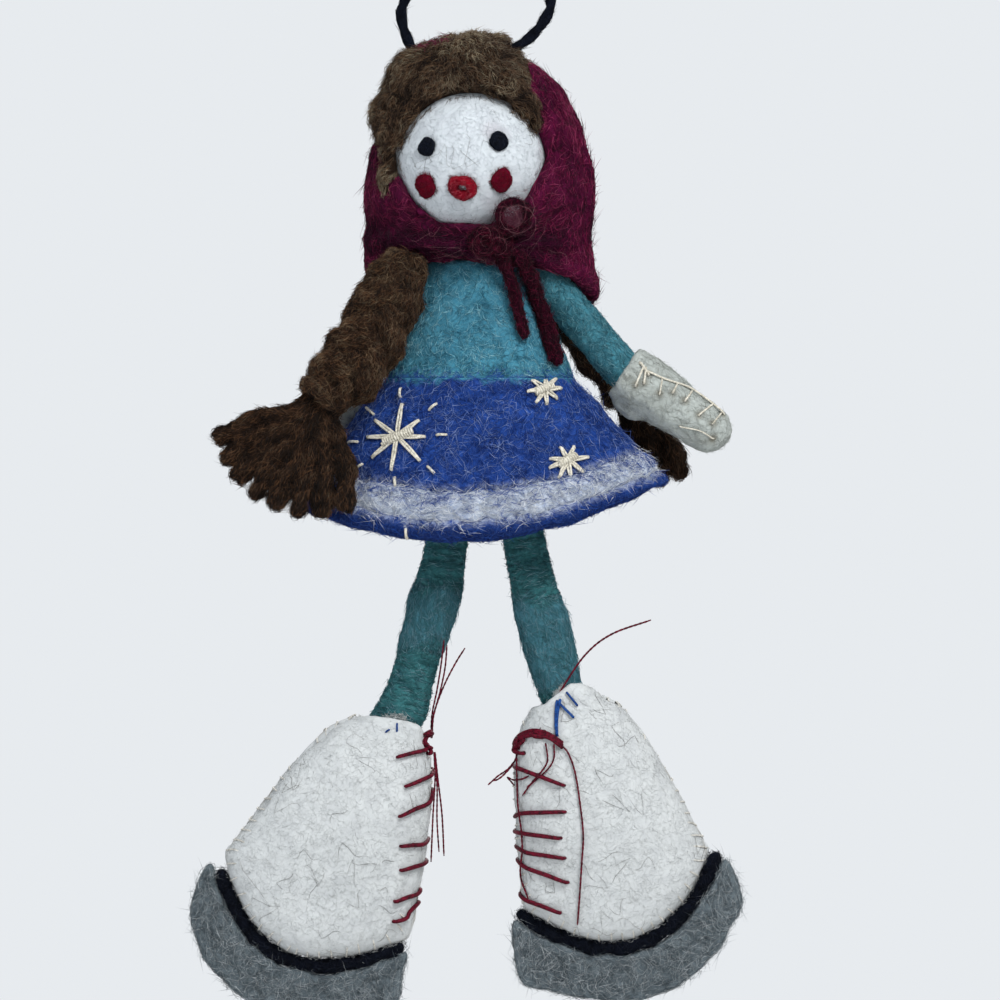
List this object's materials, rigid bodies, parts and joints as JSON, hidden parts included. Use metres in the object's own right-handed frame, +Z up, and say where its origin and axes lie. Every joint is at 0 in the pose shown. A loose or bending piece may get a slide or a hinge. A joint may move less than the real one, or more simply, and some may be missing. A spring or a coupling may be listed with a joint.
{
  "type": "felt doll ornament",
  "caption": "Hanging needle-felted doll with braids, kerchief, bell skirt and skates; arms, legs, boots and braids move.",
  "frame": {"origin": "inside of the top of the hanging loop, where a hook carries it", "axes": "+Z up, the doll looks along -Y, its left hand is on +X"},
  "size_m": [0.1187, 0.0478, 0.2889],
  "materials": {
    "hair_wool": "matt felted wool",
    "kerchief_wool": "matt felted wool",
    "bodice_wool": "matt felted wool",
    "skirt_wool": "matt felted wool",
    "white_wool": "matt felted wool",
    "core_wool": "loose wool",
    "sleeve_wool": "matt felted wool",
    "leg_wool": "wound wool",
    "black_yarn": "spun yarn",
    "black_wool": "matt felted wool",
    "red_wool": "matt felted wool",
    "grey_felt": "pressed felt",
    "white_felt": "pressed felt",
    "wire": "plain wire"
  },
  "bodies": {
    "hanger": {"hanger_loop": "black_yarn"},
    "doll": {"body_core": "core_wool", "bodice": "bodice_wool", "skirt": "skirt_wool", "skirt_band": "white_wool", "head": "white_wool", "eye_left": "black_wool", "eye_right": "black_wool", "cheek_left": "red_wool", "cheek_right": "red_wool", "mouth": "red_wool", "hair_crown": "hair_wool", "hair_fringe": "hair_wool", "kerchief": "kerchief_wool", "kerchief_tie": "kerchief_wool", "bow_knot": "kerchief_wool", "bow_loop_upper": "kerchief_wool", "bow_loop_lower": "kerchief_wool", "bow_tail_short": "kerchief_wool", "bow_tail_long": "kerchief_wool"},
    "left_arm": {"arm_left": "sleeve_wool", "arm_left_wire": "wire", "mitten_left": "white_felt"},
    "right_arm": {"arm_right": "sleeve_wool", "arm_right_wire": "wire", "mitten_right": "white_felt"},
    "front_braid": {"braid_right": "hair_wool", "braid_right_tie": "hair_wool", "braid_right_tassel": "hair_wool"},
    "back_braid": {"braid_left": "hair_wool", "braid_left_tie": "hair_wool", "braid_left_tassel": "hair_wool"},
    "right_leg": {"leg_right": "leg_wool", "leg_right_wire": "wire"},
    "left_leg": {"leg_left": "leg_wool", "leg_left_wire": "wire"},
    "right_boot": {"boot_right_front_panel": "white_felt", "boot_right_back_panel": "white_felt", "boot_right_stuffing": "core_wool", "boot_right_sole_cord": "black_yarn", "boot_right_blade": "grey_felt"},
    "left_boot": {"boot_left_front_panel": "white_felt", "boot_left_back_panel": "white_felt", "boot_left_stuffing": "core_wool", "boot_left_sole_cord": "black_yarn", "boot_left_blade": "grey_felt"}
  },
  "joints": [
    {"name": "doll_swing", "type": "hinge", "parent": "hanger", "child": "doll", "pos_m": [-0.00385, 0, -0.079], "axis": [1, 0, 0], "range_deg": [-60, 60]},
    {"name": "shoulder_left", "type": "hinge", "parent": "doll", "child": "left_arm", "pos_m": [0.0133, -0.0025, -0.12775], "axis": [-0.7528, 0, -0.6582], "range_deg": [-6, 34]},
    {"name": "shoulder_right", "type": "hinge", "parent": "doll", "child": "right_arm", "pos_m": [-0.013, 0.0001, -0.12845], "axis": [0.8366, 0, -0.5478], "range_deg": [0, 30]},
    {"name": "braid_swing_right", "type": "hinge", "parent": "doll", "child": "front_braid", "pos_m": [-0.017, -0.0115, -0.12705], "axis": [-1, 0, 0], "range_deg": [0, 34]},
    {"name": "braid_swing_left", "type": "hinge", "parent": "doll", "child": "back_braid", "pos_m": [0.015, 0.0091, -0.12625], "axis": [1, 0, 0], "range_deg": [0, 24]},
    {"name": "hip_right", "type": "hinge", "parent": "doll", "child": "right_leg", "pos_m": [-0.0049, -0.0025, -0.16505], "axis": [1, 0, 0], "range_deg": [-24, 24]},
    {"name": "hip_left", "type": "hinge", "parent": "doll", "child": "left_leg", "pos_m": [0.006, -0.0025, -0.16505], "axis": [1, 0, 0], "range_deg": [-24, 24]},
    {"name": "boot_turn_right", "type": "hinge", "parent": "right_leg", "child": "right_boot", "pos_m": [-0.0183, -0.0025, -0.22345], "axis": [-0.4305, 0, -0.9026], "range_deg": [-20, 90]},
    {"name": "boot_turn_left", "type": "hinge", "parent": "left_leg", "child": "left_boot", "pos_m": [0.0176, -0.0025, -0.21765], "axis": [-0.284, 0, 0.9588], "range_deg": [-20, 90]}
  ]
}
